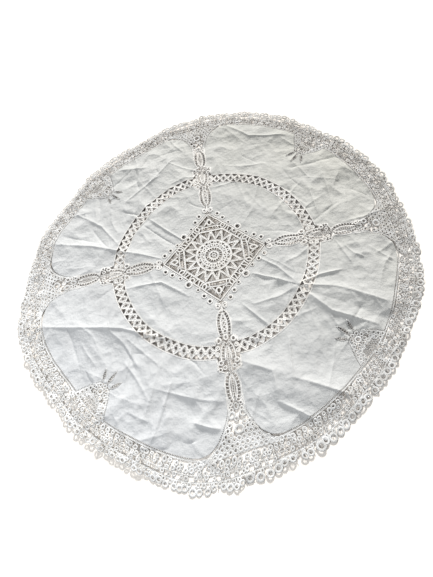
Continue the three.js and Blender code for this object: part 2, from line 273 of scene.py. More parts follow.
def tape_section(half, low=0.2, deep=0.0):
    """A woven tape across: a corded edge each side, and a flat middle."""
    right = [(1, 0), (1, 0.55), (0.8, 0.8), (0.6, 0.5), (0, 0.62)]
    rows = right + [(-a, h) for a, h in reversed(right[:-1])]
    section = np.array([(half * a, low + h) for a, h in rows])
    section[[0, -1], 1] -= deep
    return section


def round_section(radius, middle, sides, wide=1.0):
    a = np.radians(np.arange(sides) * 360 / sides)
    return np.stack([wide * radius * MM * np.cos(a), middle + radius * np.sin(a)], 1)


class Lace:
    """Tapes, threads and rings of one piece, all turned by the same angle about the middle."""

    def __init__(self, turn=0.0):
        a = math.radians(turn)
        self.turn = np.array([[math.cos(a), math.sin(a)], [-math.sin(a), math.cos(a)]])
        self.verts = []
        self.weave = []
        self.quads = []
        self.caps = []
        self.count = 0
        self.deep = 0.0         # how far the tapes of this piece go down below their edges, in mm

    def sweep(self, path, section, closed=False):
        path = np.asarray(path, float) @ self.turn
        n = len(path)
        m = len(section)
        if closed:
            along = np.roll(path, -1, 0) - np.roll(path, 1, 0)
        else:
            along = np.gradient(path, axis=0)
        along /= np.linalg.norm(along, axis=1)[:, None] + 1e-12
        side = np.stack([-along[:, 1], along[:, 0]], 1)
        xy = path[:, None, :] + side[:, None, :] * section[None, :, 0, None]
        z = np.broadcast_to(section[:, 1], (n, m))
        run = np.concatenate([[0], np.cumsum(np.linalg.norm(np.diff(path, axis=0), axis=1))])
        weave = np.zeros((n, m, 3))
        weave[:, :, 0] = section[:, 0] / MM
        weave[:, :, 1] = run[:, None] / MM
        self.verts.append(np.concatenate([xy, z[:, :, None]], 2).reshape(-1, 3))
        self.weave.append(weave.reshape(-1, 3))
        i = np.arange(n if closed else n - 1)[:, None] * m
        j = np.arange(m)[None, :]
        after = np.roll(np.arange(n), -1)[: len(i), None] * m
        right = (j + 1) % m
        quads = np.stack([i + j, i + right, after + right, after + j], 2).reshape(-1, 4)
        self.quads.append(quads + self.count)
        if not closed:
            self.caps.append([self.count + k for k in reversed(range(m))])
            self.caps.append([self.count + (n - 1) * m + k for k in range(m)])
        self.count += n * m

    def tape(self, path, width, closed=False, low=0.2):
        self.sweep(path, tape_section(width / 2, low, self.deep), closed)

    def thread(self, path, radius, closed=False):
        self.sweep(path, round_section(radius, 0.6, 5), closed)

    def ring(self, centre, outer, hole, squeeze=1.0, angle=0.0, thick=0.5, middle=0.6):
        """A needle-worked ring; squeeze is its size across the angle as a share of that along it."""
        mid = (outer + hole) / 2
        sides = 12 if outer < 0.03 else 18
        a = np.radians(np.arange(sides) * 360 / sides)
        oval = np.stack([mid * np.cos(a), mid * squeeze * np.sin(a)], 1)
        c, s = math.cos(math.radians(angle)), math.sin(math.radians(angle))
        path = oval @ np.array([[c, s], [-s, c]]) + centre
        wide = (outer - hole) / 2 / (thick * MM)
        self.sweep(path, round_section(thick, middle, 7, wide), True)

    def bar(self, a, b, radius):
        a = np.asarray(a, float)
        b = np.asarray(b, float)
        count = max(2, int(np.linalg.norm(b - a) / (5 * MM)) + 1)
        self.sweep(a + (b - a) * np.linspace(0, 1, count)[:, None], round_section(radius, 0.55, 4))

    def ladder(self, one, other, pitch, radius):
        """Bars between two lines that run the same way."""
        run = np.linalg.norm(np.diff(np.asarray(one, float), axis=0), axis=1).sum()
        count = max(2, int(run / pitch) + 1)
        for a, b in zip(resampled(one, count=count), resampled(other, count=count)):
            self.bar(a, b, radius)

    def build(self, name, material, slot, *nodes):
        verts = lay(np.concatenate(self.verts))
        faces = np.concatenate(self.quads).tolist() + self.caps
        obj = make_mesh(name, verts, faces, material)
        weave = obj.data.attributes.new("weave", "FLOAT_VECTOR", "POINT")
        weave.data.foreach_set("vector", np.concatenate(self.weave).ravel())
        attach(obj, "root")
        if nodes:
            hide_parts(*nodes)
        return obj


def make_mesh(name, verts, faces, material):
    mesh = bpy.data.meshes.new(name)
    mesh.from_pydata(verts.tolist(), [], faces)
    mesh.shade_smooth()
    mesh.materials.append(material)
    mesh.update()
    obj = bpy.data.objects.new(name, mesh)
    bpy.context.collection.objects.link(obj)
    return obj


# ---------- materials ----------
def new_material(name):
    material = bpy.data.materials.new(name)
    material.use_nodes = True
    tree = material.node_tree
    shader = tree.nodes["Principled BSDF"]
    return material, tree, shader


def node(tree, kind, **settings):
    made = tree.nodes.new(kind)
    for key, value in settings.items():
        setattr(made, key, value)
    return made


def noise_node(tree, vector, scale, detail):
    made = node(tree, "ShaderNodeTexNoise")
    made.inputs["Scale"].default_value = scale
    made.inputs["Detail"].default_value = detail
    tree.links.new(vector, made.inputs["Vector"])
    return made.outputs["Fac"]


def wave_node(tree, vector, direction, scale, distortion):
    made = node(tree, "ShaderNodeTexWave", bands_direction=direction)
    made.inputs["Scale"].default_value = scale
    made.inputs["Distortion"].default_value = distortion
    made.inputs["Detail"].default_value = 1
    tree.links.new(vector, made.inputs["Vector"])
    return made.outputs["Fac"]


def mixed(tree, factor, first, second):
    made = node(tree, "ShaderNodeMix", data_type="RGBA")
    tree.links.new(factor, made.inputs["Factor"])
    for socket, value in ((made.inputs["A"], first), (made.inputs["B"], second)):
        if isinstance(value, tuple):
            socket.default_value = (*value, 1)
        else:
            tree.links.new(value, socket)
    return made.outputs["Result"]


def painted_shade_below(tree, base, shade_brown, share=1):
    """Painted shade: faces that look down or sideways are dull and brown, which keeps the openings
    dark as if they lay in shadow.
    """
    facing = node(tree, "ShaderNodeSeparateXYZ")
    tree.links.new(node(tree, "ShaderNodeNewGeometry").outputs["Normal"], facing.inputs[0])
    # Painted shade mask: none on faces that look up, most on faces that look sideways, all on faces
    # that look down.
    below = maths(tree, "MULTIPLY", spread(tree, facing.outputs["Z"], 0.32, -0.1), share)
    return mixed(tree, below, base, shade_brown)


def maths(tree, operation, first, second):
    made = node(tree, "ShaderNodeMath", operation=operation)
    for socket, value in zip(made.inputs, (first, second)):
        if isinstance(value, (int, float)):
            socket.default_value = value
        else:
            tree.links.new(value, socket)
    return made.outputs[0]


def spread(tree, value, low, high):
    made = node(tree, "ShaderNodeMapRange")
    made.inputs["From Min"].default_value = low
    made.inputs["From Max"].default_value = high
    tree.links.new(value, made.inputs["Value"])
    return made.outputs["Result"]


def bumped(tree, shader, value, distance, strength, before=None):
    made = node(tree, "ShaderNodeBump")
    made.inputs["Distance"].default_value = distance
    made.inputs["Strength"].default_value = strength
    tree.links.new(value, made.inputs["Height"])
    if before is not None:
        tree.links.new(before, made.inputs["Normal"])
    tree.links.new(made.outputs["Normal"], shader.inputs["Normal"])
    return made.outputs["Normal"]


def light_to_shade_across(tree, place):
    """From 0 at the front left of the cloth to 1 at its back right: how far painted light gives way
    to painted shade.
    """
    parts = node(tree, "ShaderNodeSeparateXYZ")
    tree.links.new(place, parts.inputs[0])
    side = maths(tree, "MULTIPLY", parts.outputs["X"], 0.95)
    across = maths(tree, "ADD", side, maths(tree, "MULTIPLY", parts.outputs["Y"], 0.85))
    return spread(tree, across, -0.5, 0.5)


WEAVE = 420             # scale of the cotton's weave, which gives about 1.3 threads per mm


def cloth_material(name, lit_cool, shaded_warm, mark):
    """Plain-weave cotton with fine crumples; painted light makes it bright and bluish at the front
    left, painted shade darker and yellowish at the right.
    """
    material, tree, shader = new_material(name)
    place = node(tree, "ShaderNodeTexCoord").outputs["Object"]
    # Painted light at the front left, fading to painted shade at the back right.
    base = mixed(tree, light_to_shade_across(tree, place), lit_cool, shaded_warm)
    blotch = spread(tree, noise_node(tree, place, 9, 4), 0.42, 0.75)
    base = mixed(tree, maths(tree, "MULTIPLY", blotch, 0.35), base, mark)
    # Painted shade in dark brown on the faces of the cotton that look down or sideways.
    tree.links.new(painted_shade_below(tree, base, PAINTED_SHADE_DARK_BROWN), shader.inputs["Base Color"])
    shader.inputs["Roughness"].default_value = 0.85
    shader.inputs["Specular IOR Level"].default_value = 0.2
    shader.inputs["Sheen Weight"].default_value = 0.25
    shader.inputs["Sheen Roughness"].default_value = 0.5
    warp = wave_node(tree, place, "X", WEAVE, 1.5)
    weft = wave_node(tree, place, "Y", WEAVE, 1.5)
    weave = bumped(tree, shader, maths(tree, "MULTIPLY", warp, weft), 0.0002, 0.35)
    crumple = noise_node(tree, place, 70, 5)
    bumped(tree, shader, crumple, 0.004, 0.8, weave)
    return material


def lace_material(name, lit_pale, shaded_warm, kind, shade_brown, outer=False):
    """Cotton tape or thread, woven along its length, lighter at the front left and darker at the
    back right (painted light and shade, with random patches); faces that look down or sideways get
    painted shade, which on outer lace fades out at the front left, so it stays light there.
    """
    scale, distance = kind
    material, tree, shader = new_material(name)
    place = node(tree, "ShaderNodeTexCoord").outputs["Object"]
    run = node(tree, "ShaderNodeAttribute", attribute_name="weave").outputs["Vector"]
    patches = noise_node(tree, place, 60 if outer else 16, 4)
    tone_and_shade = maths(tree, "MULTIPLY", spread(tree, patches, 0.35, 0.7), 0.5)
    # Half random patches, half painted light at the front left fading to painted shade at the back
    # right.
    back = light_to_shade_across(tree, place)
    tone_and_shade = maths(tree, "ADD", tone_and_shade, maths(tree, "MULTIPLY", back, 0.5))
    base = mixed(tree, tone_and_shade, lit_pale, shaded_warm)
    # On outer lace the painted shade of faces that look down or sideways is none at the front left
    # and full from about the middle of the cloth on.
    share = 1
    if outer:
        share = maths(tree, "MINIMUM", maths(tree, "MULTIPLY", back, 1.8), 1)
    base = painted_shade_below(tree, base, shade_brown, share)
    tree.links.new(base, shader.inputs["Base Color"])
    shader.inputs["Roughness"].default_value = 0.8
    shader.inputs["Specular IOR Level"].default_value = 0.25
    shader.inputs["Sheen Weight"].default_value = 0.2
    warp = wave_node(tree, run, "X", scale, 0.5)
    weft = wave_node(tree, run, "Y", scale, 0.5)
    bumped(tree, shader, maths(tree, "ADD", warp, weft), distance, 0.6)
    return material


# Painted shade: browns for faces that look down or sideways, so the openings look dark as if in
# shadow; the lighter one is for the lace of the middle.
PAINTED_SHADE_DARK_BROWN = (0.10, 0.06, 0.028)
PAINTED_SHADE_BROWN = (0.17, 0.115, 0.048)
# Lace tones: the pale ends carry painted light at the front left, the warm ends painted shade at the
# back right; the outer warm end is darker still, painted shade on the right and back of the border.
PALE_AND_LIT = (0.76, 0.755, 0.745)
WARM_AND_SHADED = (0.60, 0.575, 0.53)
OUTER_PALE_AND_LIT = (0.77, 0.775, 0.775)
OUTER_WARM_AND_SHADED = (0.33, 0.315, 0.285)
TAPE = (0.45, 0.00025)   # scale of the weave of a tape, and height of its bumps in metres
THREAD = (0.8, 0.0002)   # the same for worked threads
# Cotton: brighter painted light at the front left, darker painted shade at the back right, and a
# grey for random blotches.
cotton = cloth_material("cotton", (0.55, 0.56, 0.57), (0.395, 0.39, 0.355), (0.41, 0.41, 0.41))
# Tape and thread get painted shade in dark brown on faces that look down or sideways, the lace of
# the middle in a lighter brown.
tape = lace_material("tape", PALE_AND_LIT, WARM_AND_SHADED, TAPE, PAINTED_SHADE_DARK_BROWN)
thread = lace_material("thread", PALE_AND_LIT, WARM_AND_SHADED, THREAD, PAINTED_SHADE_DARK_BROWN)
middle_tape = lace_material("middle_tape", PALE_AND_LIT, WARM_AND_SHADED, TAPE, PAINTED_SHADE_BROWN)
middle_thread = lace_material("middle_thread", PALE_AND_LIT, WARM_AND_SHADED, THREAD, PAINTED_SHADE_BROWN)
outer_thread = lace_material("outer_thread", OUTER_PALE_AND_LIT, OUTER_WARM_AND_SHADED, THREAD, PAINTED_SHADE_DARK_BROWN, True)
outer_tape = lace_material("outer_tape", OUTER_PALE_AND_LIT, OUTER_WARM_AND_SHADED, TAPE, PAINTED_SHADE_DARK_BROWN, True)


# ---------- the middle ----------
# Half the width of the diamond: to its tape, to the edge of the cotton and to the tape beside it.
DIAMOND = 0.364
COTTON_EDGE = 0.378
EDGING = 0.381


def rosette():
    lace = Lace()
    lace.deep = DEEP
    lace.ring((0, 0), 0.023, 0.009, thick=0.7)
    for k in range(6):
        lace.bar(polar(0.02, 60 * k), polar(0.038, 60 * k), BOLD)
    lace.tape(arc(0.046, 0, 360)[:-1], 0.020, True)
    for k in range(18):
        lace.bar(polar(0.052, 20 * k), polar(0.088, 20 * k), BOLD)
    lace.tape(arc(0.094, 0, 360)[:-1], 0.017, True)
    for k in range(16):
        lace.ring(polar(0.121, 22.5 * k), 0.0225, 0.0065, thick=0.6)
        lace.ring(polar(0.147, 22.5 * k + 11.25), 0.0215, 0.0065, thick=0.6)
    lace.tape(arc(0.176, 0, 360)[:-1], 0.022, True)
    return lace.build("rosette", middle_thread, "needle_lace", "medallion_rosette")


def star():
    """Two rings of open triangles between the rosette and an octagon of tape."""
    lace = Lace()
    lace.deep = DEEP
    zigzag = []
    for k in range(16):
        zigzag += [polar(0.298, 22.5 * k), polar(0.192, 22.5 * k + 11.25)]
    zigzag.append(zigzag[0])
    lace.tape(resampled(zigzag)[:-1], 0.0195, True, 0.3)
    octagon = [polar(0.324, 45 * k + 22.5) for k in range(9)]
    lace.tape(resampled(octagon)[:-1], 0.018, True)
    for k in range(16):
        a = 22.5 * k
        if k % 2:
            lace.bar(polar(0.298, a), polar(0.324, a), 1.3)
        lace.bar(polar(0.262, a - 5), polar(0.262, a + 5), 0.8)
        lace.bar(polar(0.215, a), polar(0.285, a), 0.6)
        lace.bar(polar(0.205, a + 11.25), polar(0.315, a + 11.25), 0.6)
        lace.ring(polar(0.243, a), 0.0125, 0.006, 1.3, a, thick=0.45)
    return lace.build("star", middle_tape, "lace_tape", "medallion_star")


def medallion_frame():
    """The diamond round the octagon, with the open cells between the two."""
    lace = Lace()
    lace.deep = DEEP
    corner = DIAMOND * math.sqrt(2)
    square = [(corner, 0), (0, corner), (-corner, 0), (0, -corner), (corner, 0)]
    lace.tape(resampled(square)[:-1], 0.013, True, 0.3)
    for k in range(4):
        lace.turn = Lace(90 * k).turn
        for side in (-1, 1):
            lace.ring(polar(0.366, side * 21.5), 0.037, 0.0205, 0.68, side * 21.5, thick=0.7)
            kinked = [polar(0.318, side * 16), polar(0.372, side * 12), polar(0.41, side * 18)]
            lace.tape(resampled(kinked), 0.011)
            lace.tape(resampled([polar(0.32, side * 26), polar(0.375, side * 29)]), 0.013)
            lace.tape(resampled([polar(0.315, side * 33), polar(0.372, side * 32)]), 0.013)
            lace.tape(resampled([polar(0.31, side * 38), polar(0.366, side * 40)]), 0.011)
        lace.ring(polar(0.345, 45), 0.029, 0.015)
    return lace.build("medallion_frame_tape", middle_tape, "lace_tape", "medallion_frame")


def corner_eyelet(k):
    """The corner of the diamond: an oval inside a V of open bars."""
    lace = Lace(90 * k)
    lace.deep = DEEP
    back = [(0.342, -0.118), (0.352, -0.05), (0.354, 0), (0.352, 0.05), (0.342, 0.118)]
    lace.tape(bend(back), 0.013)
    lace.ring((0.405, 0), 0.042, 0.0225, 0.72, 0, thick=0.7)
    for y in (-0.085, -0.058, -0.03, 0.03, 0.058, 0.085):
        lace.bar((0.318, y), (0.35, y), 0.8)
    for mirror in (1, -1):
        low = np.array([(0.37, 0.055 * mirror), (0.452, 0.004 * mirror)])
        high = np.array([(0.395, 0.10 * mirror), (0.495, 0.008 * mirror)])
        lace.tape(resampled(low), 0.013)
        lace.ladder(low, high, 0.036, 0.6)
        lace.bar((0.398, 0.028 * mirror), (0.374, 0.05 * mirror), 0.8)
        lace.bar((0.36, 0.05 * mirror), (0.385, 0.115 * mirror), BOLD)
    replaced = f"medallion_corner_eyelet_{k + 1}"
    return lace.build(f"corner_eyelet_{k + 1}", middle_thread, "needle_lace", replaced)


def on_side(apothem, along):
    """A point on one side of the diamond, in its first quarter, from the middle of that side."""
    root = math.sqrt(0.5)
    return np.array([(apothem - along) * root, (apothem + along) * root])


# Worked eyelets in the cotton beside the diamond: distance from the middle, distance along the
# side, radius of the ring and of its hole.
EYELETS = [(0.403, 0, 0.042, 0.0205)]
for side in (-1, 1):
    EYELETS += [(0.418, 0.375 * side, 0.030, 0.014), (0.424, 0.285 * side, 0.030, 0.0135)]
    EYELETS += [(0.412, 0.205 * side, 0.029, 0.013), (0.396, 0.115 * side, 0.024, 0.0105)]


def edging(k):
    """The worked eyelets of one side, and the tape that they stand on."""
    lace = Lace(90 * k)
    lace.tape(resampled([on_side(EDGING, -0.36), on_side(EDGING, 0.36)]), 0.009)
    for apothem, along, outer, hole in EYELETS:
        lace.ring(on_side(apothem, along), outer, hole, thick=0.75, middle=0.75)
    return lace.build(f"edging_{k + 1}", thread, "needle_lace", f"medallion_edging_{k + 1}")


# ---------- spokes ----------
def open_seam(lace, points):
    """A dotted open seam between two tapes, on both sides of the spoke."""
    middle = bend(points)
    for mirror in (1, -1):
        path = middle * [1, mirror]
        lace.tape(offset(path, 0.0185 * mirror), 0.014)
        lace.tape(offset(path, -0.0195 * mirror), 0.015)
        lace.ladder(offset(path, 0.012 * mirror), offset(path, -0.012 * mirror), SEAM, BOLD)


def column(lace, start, end, half):
    """Two cords along the middle of a leaf with bars between them."""
    one = np.array([(start, half), (end, half)])
    lace.ladder(one, flip(one), 0.02, 0.7)
    for line in (one, flip(one)):
        lace.thread(resampled(line), BOLD)


def inner_leaf(k):
    lace = Lace(90 * k)
    open_seam(lace, [
        (0.626, 0.003), (0.645, 0.022), (0.69, 0.04), (0.75, 0.047), (0.81, 0.044), (0.865, 0.03),
    ])
    for r in (0.70, 0.742, 0.784, 0.826):
        lace.ring((r, 0), 0.0215, 0.0105, thick=0.6)
    lace.ring((0.882, 0), 0.03, 0.014, 0.75, 0, thick=0.7)
    for side in (-1, 1):
        lace.ring((0.575, 0.034 * side), 0.026, 0.0115, thick=0.7)
        lace.bar((0.60, 0.012 * side), (0.628, 0.004 * side), BOLD)
    lace.tape(resampled([(0.555, 0), (0.625, 0)]), 0.02)
    return lace.build(f"inner_leaf_{k + 1}", tape, "lace_tape", f"spoke_inner_leaf_{k + 1}")


def crossing(k):
    lace = Lace(90 * k)
    open_seam(lace, [(0.94, 0.003), (0.955, 0.023), (0.985, 0.037), (1.03, 0.044), (1.085, 0.046)])
    column(lace, 0.985, 1.185, 0.0095)
    for side in (-1, 1):
        lace.ring((0.905, 0.066 * side), 0.032, 0.0145, 0.85, 0, thick=0.8)
        lace.ring((0.925, 0.03 * side), 0.015, 0.006)
        lace.ring((0.965, 0.085 * side), 0.024, 0.01)
        lace.ring((1.02, 0.092 * side), 0.024, 0.01)
        lace.ring((1.10, 0.07 * side), 0.026, 0.011, thick=0.6)
        lace.ring((1.145, 0.041 * side), 0.021, 0.009)
        lace.ring((1.155, 0.083 * side), 0.021, 0.009)
        lace.tape(bend([(1.065, 0.105 * side), (1.11, 0.1 * side), (1.16, 0.107 * side)]), 0.014)
        lace.tape(bend([(1.17, 0.1 * side), (1.18, 0.06 * side), (1.205, 0.02 * side)]), 0.014)
        hook = np.array([(0.875, 0.055), (0.87, 0.075), (0.89, 0.098), (0.935, 0.098)]) * [1, side]
        lace.tape(bend(hook), 0.012)
    return lace.build(f"crossing_{k + 1}", tape, "lace_tape", f"spoke_crossing_{k + 1}")


def outer_leaf(k):
    lace = Lace(90 * k)
    open_seam(lace, [
        (1.195, 0.012), (1.22, 0.031), (1.27, 0.045), (1.33, 0.048), (1.385, 0.042), (1.435, 0.024),
    ])
    column(lace, 1.235, 1.40, 0.0095)
    for side in (-1, 1):
        lace.tape(resampled([(1.38, 0.066 * side), (1.50, 0.068 * side)]), 0.016)
        lace.ring((1.447, 0.043 * side), 0.021, 0.008)
        lace.ring((1.415, 0.05 * side), 0.015, 0.006)
        lace.ring((1.49, 0.043 * side), 0.021, 0.008)
    return lace.build(f"outer_leaf_{k + 1}", tape, "lace_tape", f"spoke_outer_leaf_{k + 1}")


# Distance from the middle and half-width of the lace: along a spoke, and along a corner motif.
SPOKE_PROFILE = np.array([
    (0.50, 0.030), (0.61, 0.026), (0.64, 0.038), (0.69, 0.056), (0.75, 0.063), (0.81, 0.060),
    (0.862, 0.048), (0.878, 0.085), (0.89, 0.098), (1.04, 0.1), (1.15, 0.104), (1.17, 0.098),
    (1.195, 0.05), (1.22, 0.052), (1.27, 0.062), (1.33, 0.065), (1.47, 0.068), (1.52, 0.082),
    (1.58, 0.105), (1.64, 0.135), (1.70, 0.18), (1.75, 0.245), (1.775, 0.32), (1.785, 0.42),
])
MOTIF_PROFILE = np.array([
    (1.405, 0.0), (1.43, 0.009), (1.475, 0.015), (1.52, 0.012), (1.56, 0.012), (1.572, 0.066),
    (1.61, 0.085), (1.66, 0.125), (1.72, 0.165), (1.785, 0.20),
])
# The two side leaves of the corner motif, cut through the cotton: tip, foot and half-width.
SIDE_LEAVES = [((1.455, 0.10 * side), (1.565, 0.045 * side), 0.0165) for side in (-1, 1)]


def filling(lace, outline, pitch, outer, hole, clear):
    """Rows of small rings inside an outline, leaving round places clear."""
    low = outline.min(0)
    high = outline.max(0)
    after = np.roll(outline, -1, 0)
    for i, x in enumerate(np.arange(low[0] + outer, high[0], pitch * 0.87)):
        for y in np.arange(low[1] + outer, high[1], pitch):
            p = np.array([x, y + (i % 2) * pitch / 2])
            crosses = (outline[:, 1] > p[1]) != (after[:, 1] > p[1])
            edge = after - outline
            with np.errstate(divide="ignore", invalid="ignore"):
                at = outline[:, 0] + (p[1] - outline[:, 1]) * edge[:, 0] / edge[:, 1]
            inside = (crosses & (p[0] < at)).sum() % 2
            if inside and all(np.hypot(*(p - c[:2])) > c[2] for c in clear):
                lace.ring(p, outer, hole, 0.9, 37 * i, thick=0.55)


def outline_of(profile, start, end, inset):
    """The lace inside a profile as a closed outline that ends on the border."""
    side = bend(profile[(profile[:, 0] >= start) & (profile[:, 0] <= end)], 0.01)
    side = side - [0, inset]
    side = side[side[:, 1] > 0]
    return np.concatenate([side, flip(side)[::-1]])


def rim(lace, profile, start, end):
    """A tape along both sides of a profile with an open seam towards the cotton."""
    side = bend(profile[(profile[:, 0] >= start) & (profile[:, 0] <= end)])
    for mirror in (1, -1):
        path = side * [1, mirror]
        lace.tape(offset(path, -0.009 * mirror), 0.015)
        lace.ladder(offset(path, -0.003 * mirror), offset(path, 0.006 * mirror), 0.0135, 0.6)


def fan(k):
    lace = Lace(90 * k)
    lace.ring((1.468, 0), 0.032, 0.015, 0.75, 0, thick=0.7)
    eyelets = [(1.53, 0.045, 0.046), (1.53, -0.045, 0.046), (1.645, 0, 0.058), (1.468, 0, 0.045)]
    lace.ring((1.53, 0.045), 0.034, 0.0155, 0.85, 30, thick=0.7)
    lace.ring((1.53, -0.045), 0.034, 0.0155, 0.85, -30, thick=0.7)
    lace.ring((1.645, 0), 0.046, 0.022, 0.85, 90, thick=0.8)
    filling(lace, outline_of(SPOKE_PROFILE, 1.44, 1.79, 0.016), 0.041, 0.0245, 0.0095, eyelets)
    rim(lace, SPOKE_PROFILE, 1.47, 1.775)
    return lace.build(f"fan_{k + 1}", outer_thread, "needle_lace", f"border_fan_{k + 1}")


def motif(k):
    """Three narrow leaves over a flower of rings, and a patch of diagonal net at its foot."""
    lace = Lace(90 * k + 45)
    for tip, foot, half in [((1.412, 0), (1.568, 0), 0.0165)] + SIDE_LEAVES:
        tip = np.array(tip)
        foot = np.array(foot)
        way = (foot - tip) / np.linalg.norm(foot - tip)
        across = np.array([-way[1], way[0]]) * half
        for side in (-1, 1):
            lace.thread(bend([tip, (tip + foot) / 2 + side * across, foot]), 0.75)
        for share in (0.22, 0.36, 0.5, 0.64, 0.78):
            at = tip + (foot - tip) * share
            reach = across * math.sin(math.pi * share)
            lace.bar(at - reach, at + reach, 0.6)
    lace.ring((1.63, 0), 0.034, 0.015, thick=0.7)
    for a in range(0, 360, 45):
        lace.ring(np.array([1.63, 0]) + polar(0.056, a), 0.021, 0.0085, thick=0.6)
    clear = [(1.63, 0, 0.075), (1.76, 0, 0.065), (1.76, 0.05, 0.045), (1.76, -0.05, 0.045)]
    filling(lace, outline_of(MOTIF_PROFILE, 1.573, 1.79, 0.014), 0.041, 0.0235, 0.0095, clear)
    for t in np.linspace(-0.09, 0.09, 9):
        lace.bar((1.71, t), (1.80, t + 0.045), 0.5)
        lace.bar((1.71, t), (1.80, t - 0.045), 0.5)
    for r in (1.735, 1.765):
        lace.bar((r, -0.095), (r, 0.095), 0.45)
    lace.tape(resampled([(1.706, -0.1), (1.706, 0.1)]), 0.011)
    rim(lace, MOTIF_PROFILE, 1.57, 1.785)
    return lace.build(f"motif_{k + 1}", outer_thread, "needle_lace", f"corner_motif_{k + 1}")


# ---------- ring band and border ----------
INNER_RAIL = 0.937
OUTER_RAIL = 1.056


def ring_band(k):
    """Two zigzags that cross between the rails, which leaves three rows of openings."""
    lace = Lace(90 * k)
    trim = 5.8              # degrees left free at each end for the crossings of the spokes
    lace.tape(arc(INNER_RAIL, trim, 90 - trim), 0.011)
    lace.tape(arc(OUTER_RAIL, trim, 90 - trim), 0.012)
    cells = 18
    wide = 4.5              # degrees
    inner = [polar(0.948, 45 + (i - cells / 2) * wide) for i in range(cells + 1)]
    outer = [polar(1.043, 45 + (i - cells / 2) * wide) for i in range(cells + 1)]
    for one, other in ((inner, outer), (outer, inner)):
        path = [(one if i % 2 else other)[i] for i in range(cells + 1)]
        lace.tape(resampled(path), 0.019)
    for i in range(cells):
        at = 45 + (i + 0.5 - cells / 2) * wide
        lace.ring(polar(0.996, at), 0.021, 0.008, thick=0.8)
        lace.ring(polar(0.996, at + wide / 2), 0.0205, 0.015, thick=0.4)
    return lace.build(f"ring_lace_{k + 1}", tape, "lace_tape", f"ring_band_{k + 1}")


def border(k):
    """Small needle-worked rings of uneven size over a criss-cross of threads, between two tapes."""
    lace = Lace(45 * k)
    vary = np.random.RandomState(40 + k).uniform(-1, 1, (29, 8))
    lace.tape(arc(1.796, 0, 45), 0.013)
    for i, (a1, r1, s1, a2, r2, s2, a3, s3) in enumerate(vary):
        a = (i + 0.5) * 45 / len(vary)
        size = 0.0225 + 0.004 * s1
        place = polar(1.829 + 0.008 * r1, a + 0.35 * a1)
        lace.ring(place, size, 0.36 * size, 0.85, 90 * a1, thick=0.6)
        size = 0.0195 + 0.004 * s2
        place = polar(1.868 + 0.009 * r2, a + 0.9 + 0.35 * a2)
        lace.ring(place, size, 0.34 * size, 0.85, 90 * a2, thick=0.55)
        place = polar(1.908 + 0.007 * s3, a + 0.4 * a3)
        lace.ring(place, 0.018 + 0.004 * a1, 0.0065, thick=0.5)
        lace.bar(polar(1.80, a + a1), polar(1.85, a - a2), 0.5)
        lace.bar(polar(1.84, a + a2), polar(1.895, a - 0.6 * a3), 0.6)
        lace.bar(polar(1.88, a + a3), polar(1.935, a + 0.8 * s1), 0.6)
        lace.bar(polar(1.86 + 0.03 * r1, a), polar(1.87 + 0.03 * r2, a + 1.8), 0.5)
    lace.thread(arc(1.891, 0, 45), 0.7)
    lace.tape(arc(1.934, 0, 45), 0.010)
    return lace.build(f"border_{k + 1}", outer_thread, "needle_lace", f"border_band_{k + 1}")


def loops(k):
    """Loops along the scalloped outer edge, larger at the right, with rings at their feet."""
    lace = Lace(45 * k)
    large = k in (0, 6, 7)
    vary = np.random.RandomState(60 + k).uniform(-1, 1, (22 if large else 29, 5))
    for i, (turned, far, size, foot, aside) in enumerate(vary):
        a = (i + 0.5) * 45 / len(vary)
        swell = 0.014 * abs(math.sin(math.pi * (i + 0.5) / 5))
        outer = (0.034 if large else 0.0265) + 0.0055 * size
        place = polar(1.970 + swell + 0.009 * far, a + 0.4 * aside)
        lace.ring(place, outer, 0.42 * outer, 1.1, a + 30 * turned, thick=0.55)
        between = polar(1.951, a + 0.8 + 0.4 * turned)
        lace.ring(between, 0.019 + 0.004 * foot, 0.0065, 0.9, a, thick=0.5)
        lace.bar(polar(1.936, a + 0.8 * far), place, 0.6)
        lace.bar(polar(1.938, a - 0.9 * foot), polar(1.985 + swell, a + 0.8), 0.5)
    return lace.build(f"loops_{k + 1}", outer_tape, "lace_tape", f"edge_loops_{k + 1}")


def lobe_seam(k):
    """The open seam between a panel's outer edge and the border."""
    lace = Lace(90 * k)
    for start, end in ((13.5, 38.5), (51.5, 76.5)):
        lace.ladder(arc(1.779, start, end), arc(1.790, start, end), 0.0135, 0.6)
    return lace.build(f"lobe_seam_{k + 1}", thread, "needle_lace")


# ---------- cotton panels ----------
CLOTH = 0.5             # thickness, mm


def grid_faces(rows, columns):
    i = np.arange(rows - 1)[:, None] * columns
    j = np.arange(columns - 1)[None, :]
    return np.stack([i + j, i + j + 1, i + j + 1 + columns, i + j + columns], 2).reshape(-1, 4)


def compact(verts, faces):
    """Drops the points that no face uses."""
    used = np.unique(faces)
    renumber = np.zeros(len(verts), int)
    renumber[used] = np.arange(len(used))
    return verts[used], renumber[faces]


def panel(name, verts, faces, replaced):
    """A closed sheet of cotton over the plan points."""
    n = len(verts)
    top = np.column_stack([verts, np.full(n, CLOTH)])
    under = np.column_stack([verts, np.zeros(n)])
    edges = np.concatenate([faces[:, [i, (i + 1) % 4]] for i in range(4)])
    keys = {tuple(e) for e in edges.tolist()}
    hem = [(a, b) for a, b in edges.tolist() if (b, a) not in keys]
    sides = [(b, a, a + n, b + n) for a, b in hem]
    body = faces.tolist() + (faces[:, ::-1] + n).tolist() + sides
    obj = make_mesh(name, lay(np.concatenate([top, under])), body, cotton)
    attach(obj, "root")
    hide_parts(replaced)
    return obj


def edge_angle(r, half):
    return np.arcsin(np.clip(half / r, 0, 1))


